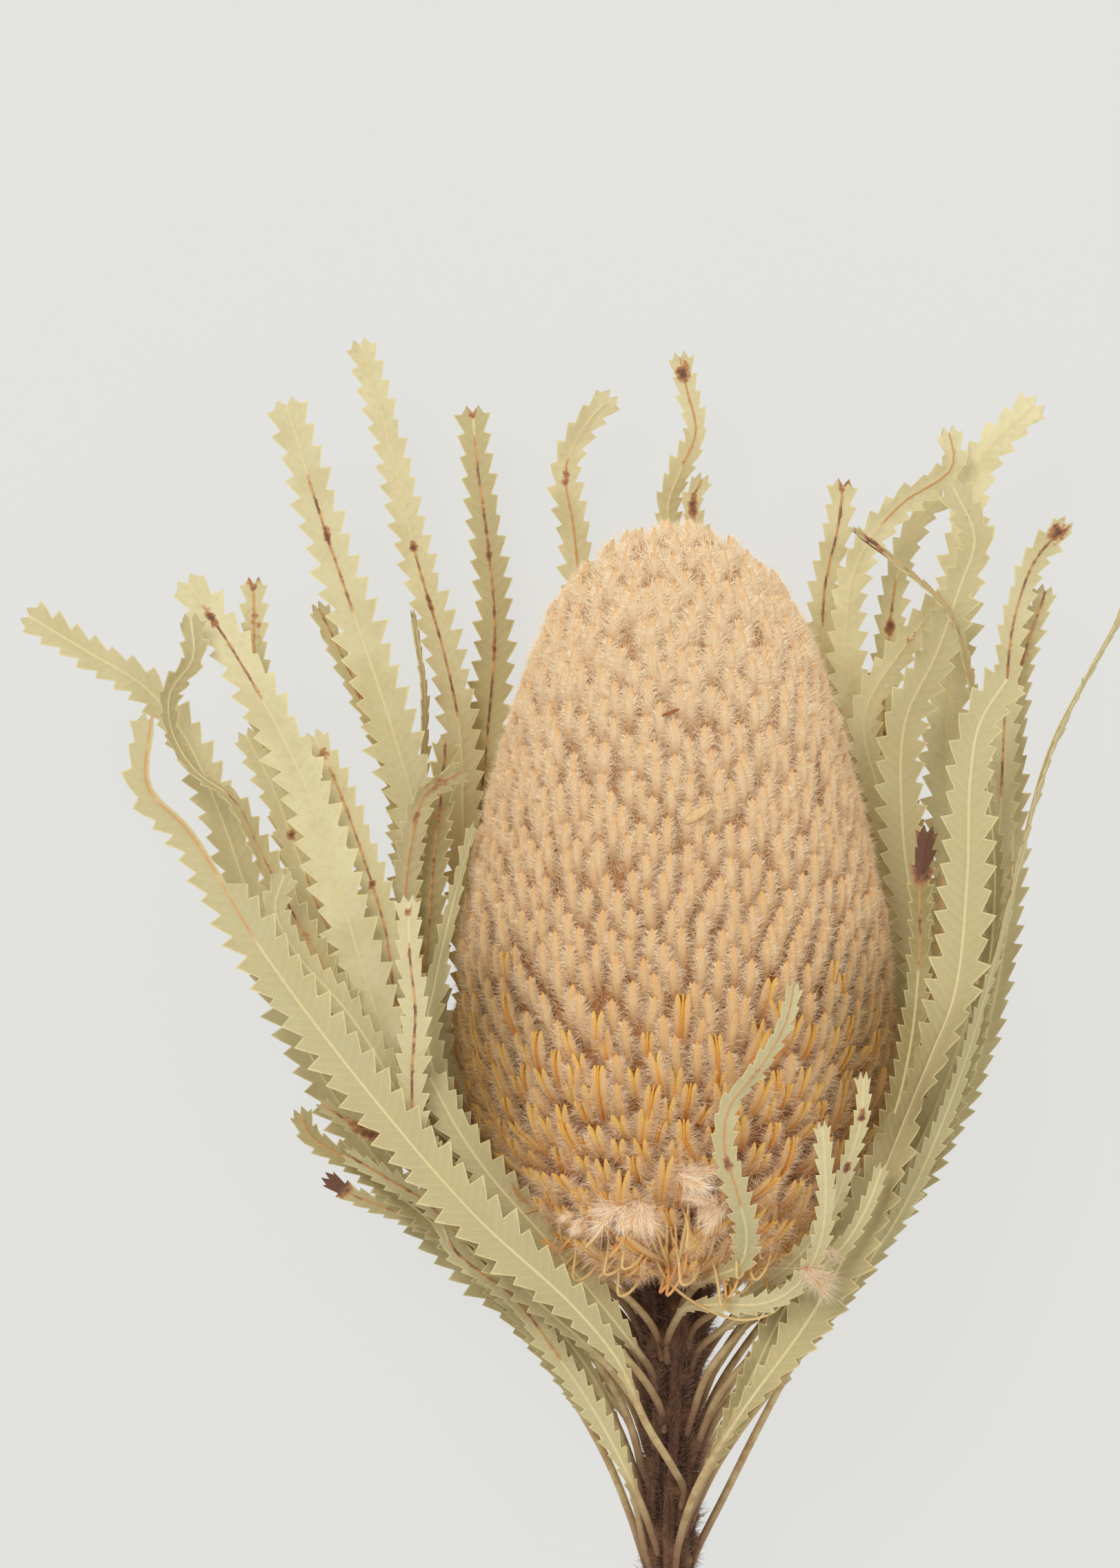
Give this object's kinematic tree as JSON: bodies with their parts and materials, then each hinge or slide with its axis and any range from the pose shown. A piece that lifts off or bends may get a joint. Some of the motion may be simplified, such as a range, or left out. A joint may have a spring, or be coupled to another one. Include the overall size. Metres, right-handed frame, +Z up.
{
  "type": "banksia cone",
  "caption": "Dried banksia cone: a woolly barrel-shaped flower head on a cut woody stem, ringed with long saw-toothed leaves, lying on its side.",
  "frame": {"origin": "middle of the box round the whole part, on the surface that it lies on", "axes": "+Z up from the surface; +Y from the stem's cut end towards the head's tip; +X to the right of that, seen from above"},
  "size_m": [0.1604, 0.2303, 0.0636],
  "materials": {
    "florets": "dry, woolly, matt",
    "bark": "rough, ribbed, matt",
    "leaf": "dry, leathery, matt"
  },
  "bodies": {
    "root": {"flower_head": "florets", "stem": "bark", "leaf_far_left": "leaf", "leaf_far_right": "leaf", "leaf_front_bent": "leaf", "leaf_front_looped": "leaf", "leaf_front_low": "leaf", "leaf_front_spotted": "leaf", "leaf_left_beside_head": "leaf", "leaf_left_broad": "leaf", "leaf_left_brown_rib": "leaf", "leaf_left_curled_tip": "leaf", "leaf_left_folded": "leaf", "leaf_left_hooked": "leaf", "leaf_left_inner": "leaf", "leaf_left_long": "leaf", "leaf_left_orange": "leaf", "leaf_left_short": "leaf", "leaf_left_sliver": "leaf", "leaf_left_spotted": "leaf", "leaf_left_twisted": "leaf", "leaf_left_under_head": "leaf", "leaf_low_drooping": "leaf", "leaf_low_edgewise": "leaf", "leaf_low_hooked": "leaf", "leaf_low_middle": "leaf", "leaf_low_red_tip": "leaf", "leaf_low_upper": "leaf", "leaf_right_arching": "leaf", "leaf_right_beside_head": "leaf", "leaf_right_brown_tip": "leaf", "leaf_right_cut_tip": "leaf", "leaf_right_edgewise": "leaf", "leaf_right_inner": "leaf", "leaf_right_long": "leaf", "leaf_right_narrow": "leaf", "leaf_right_outer": "leaf", "leaf_right_rear": "leaf", "leaf_right_slanting": "leaf", "leaf_right_tallest": "leaf", "leaf_right_wide": "leaf", "leaf_tip_bent": "leaf", "leaf_tip_small": "leaf", "leaf_tip_winding": "leaf", "leaf_top_dark": "leaf", "leaf_top_left": "leaf", "leaf_top_tallest": "leaf"}
  },
  "joints": []
}
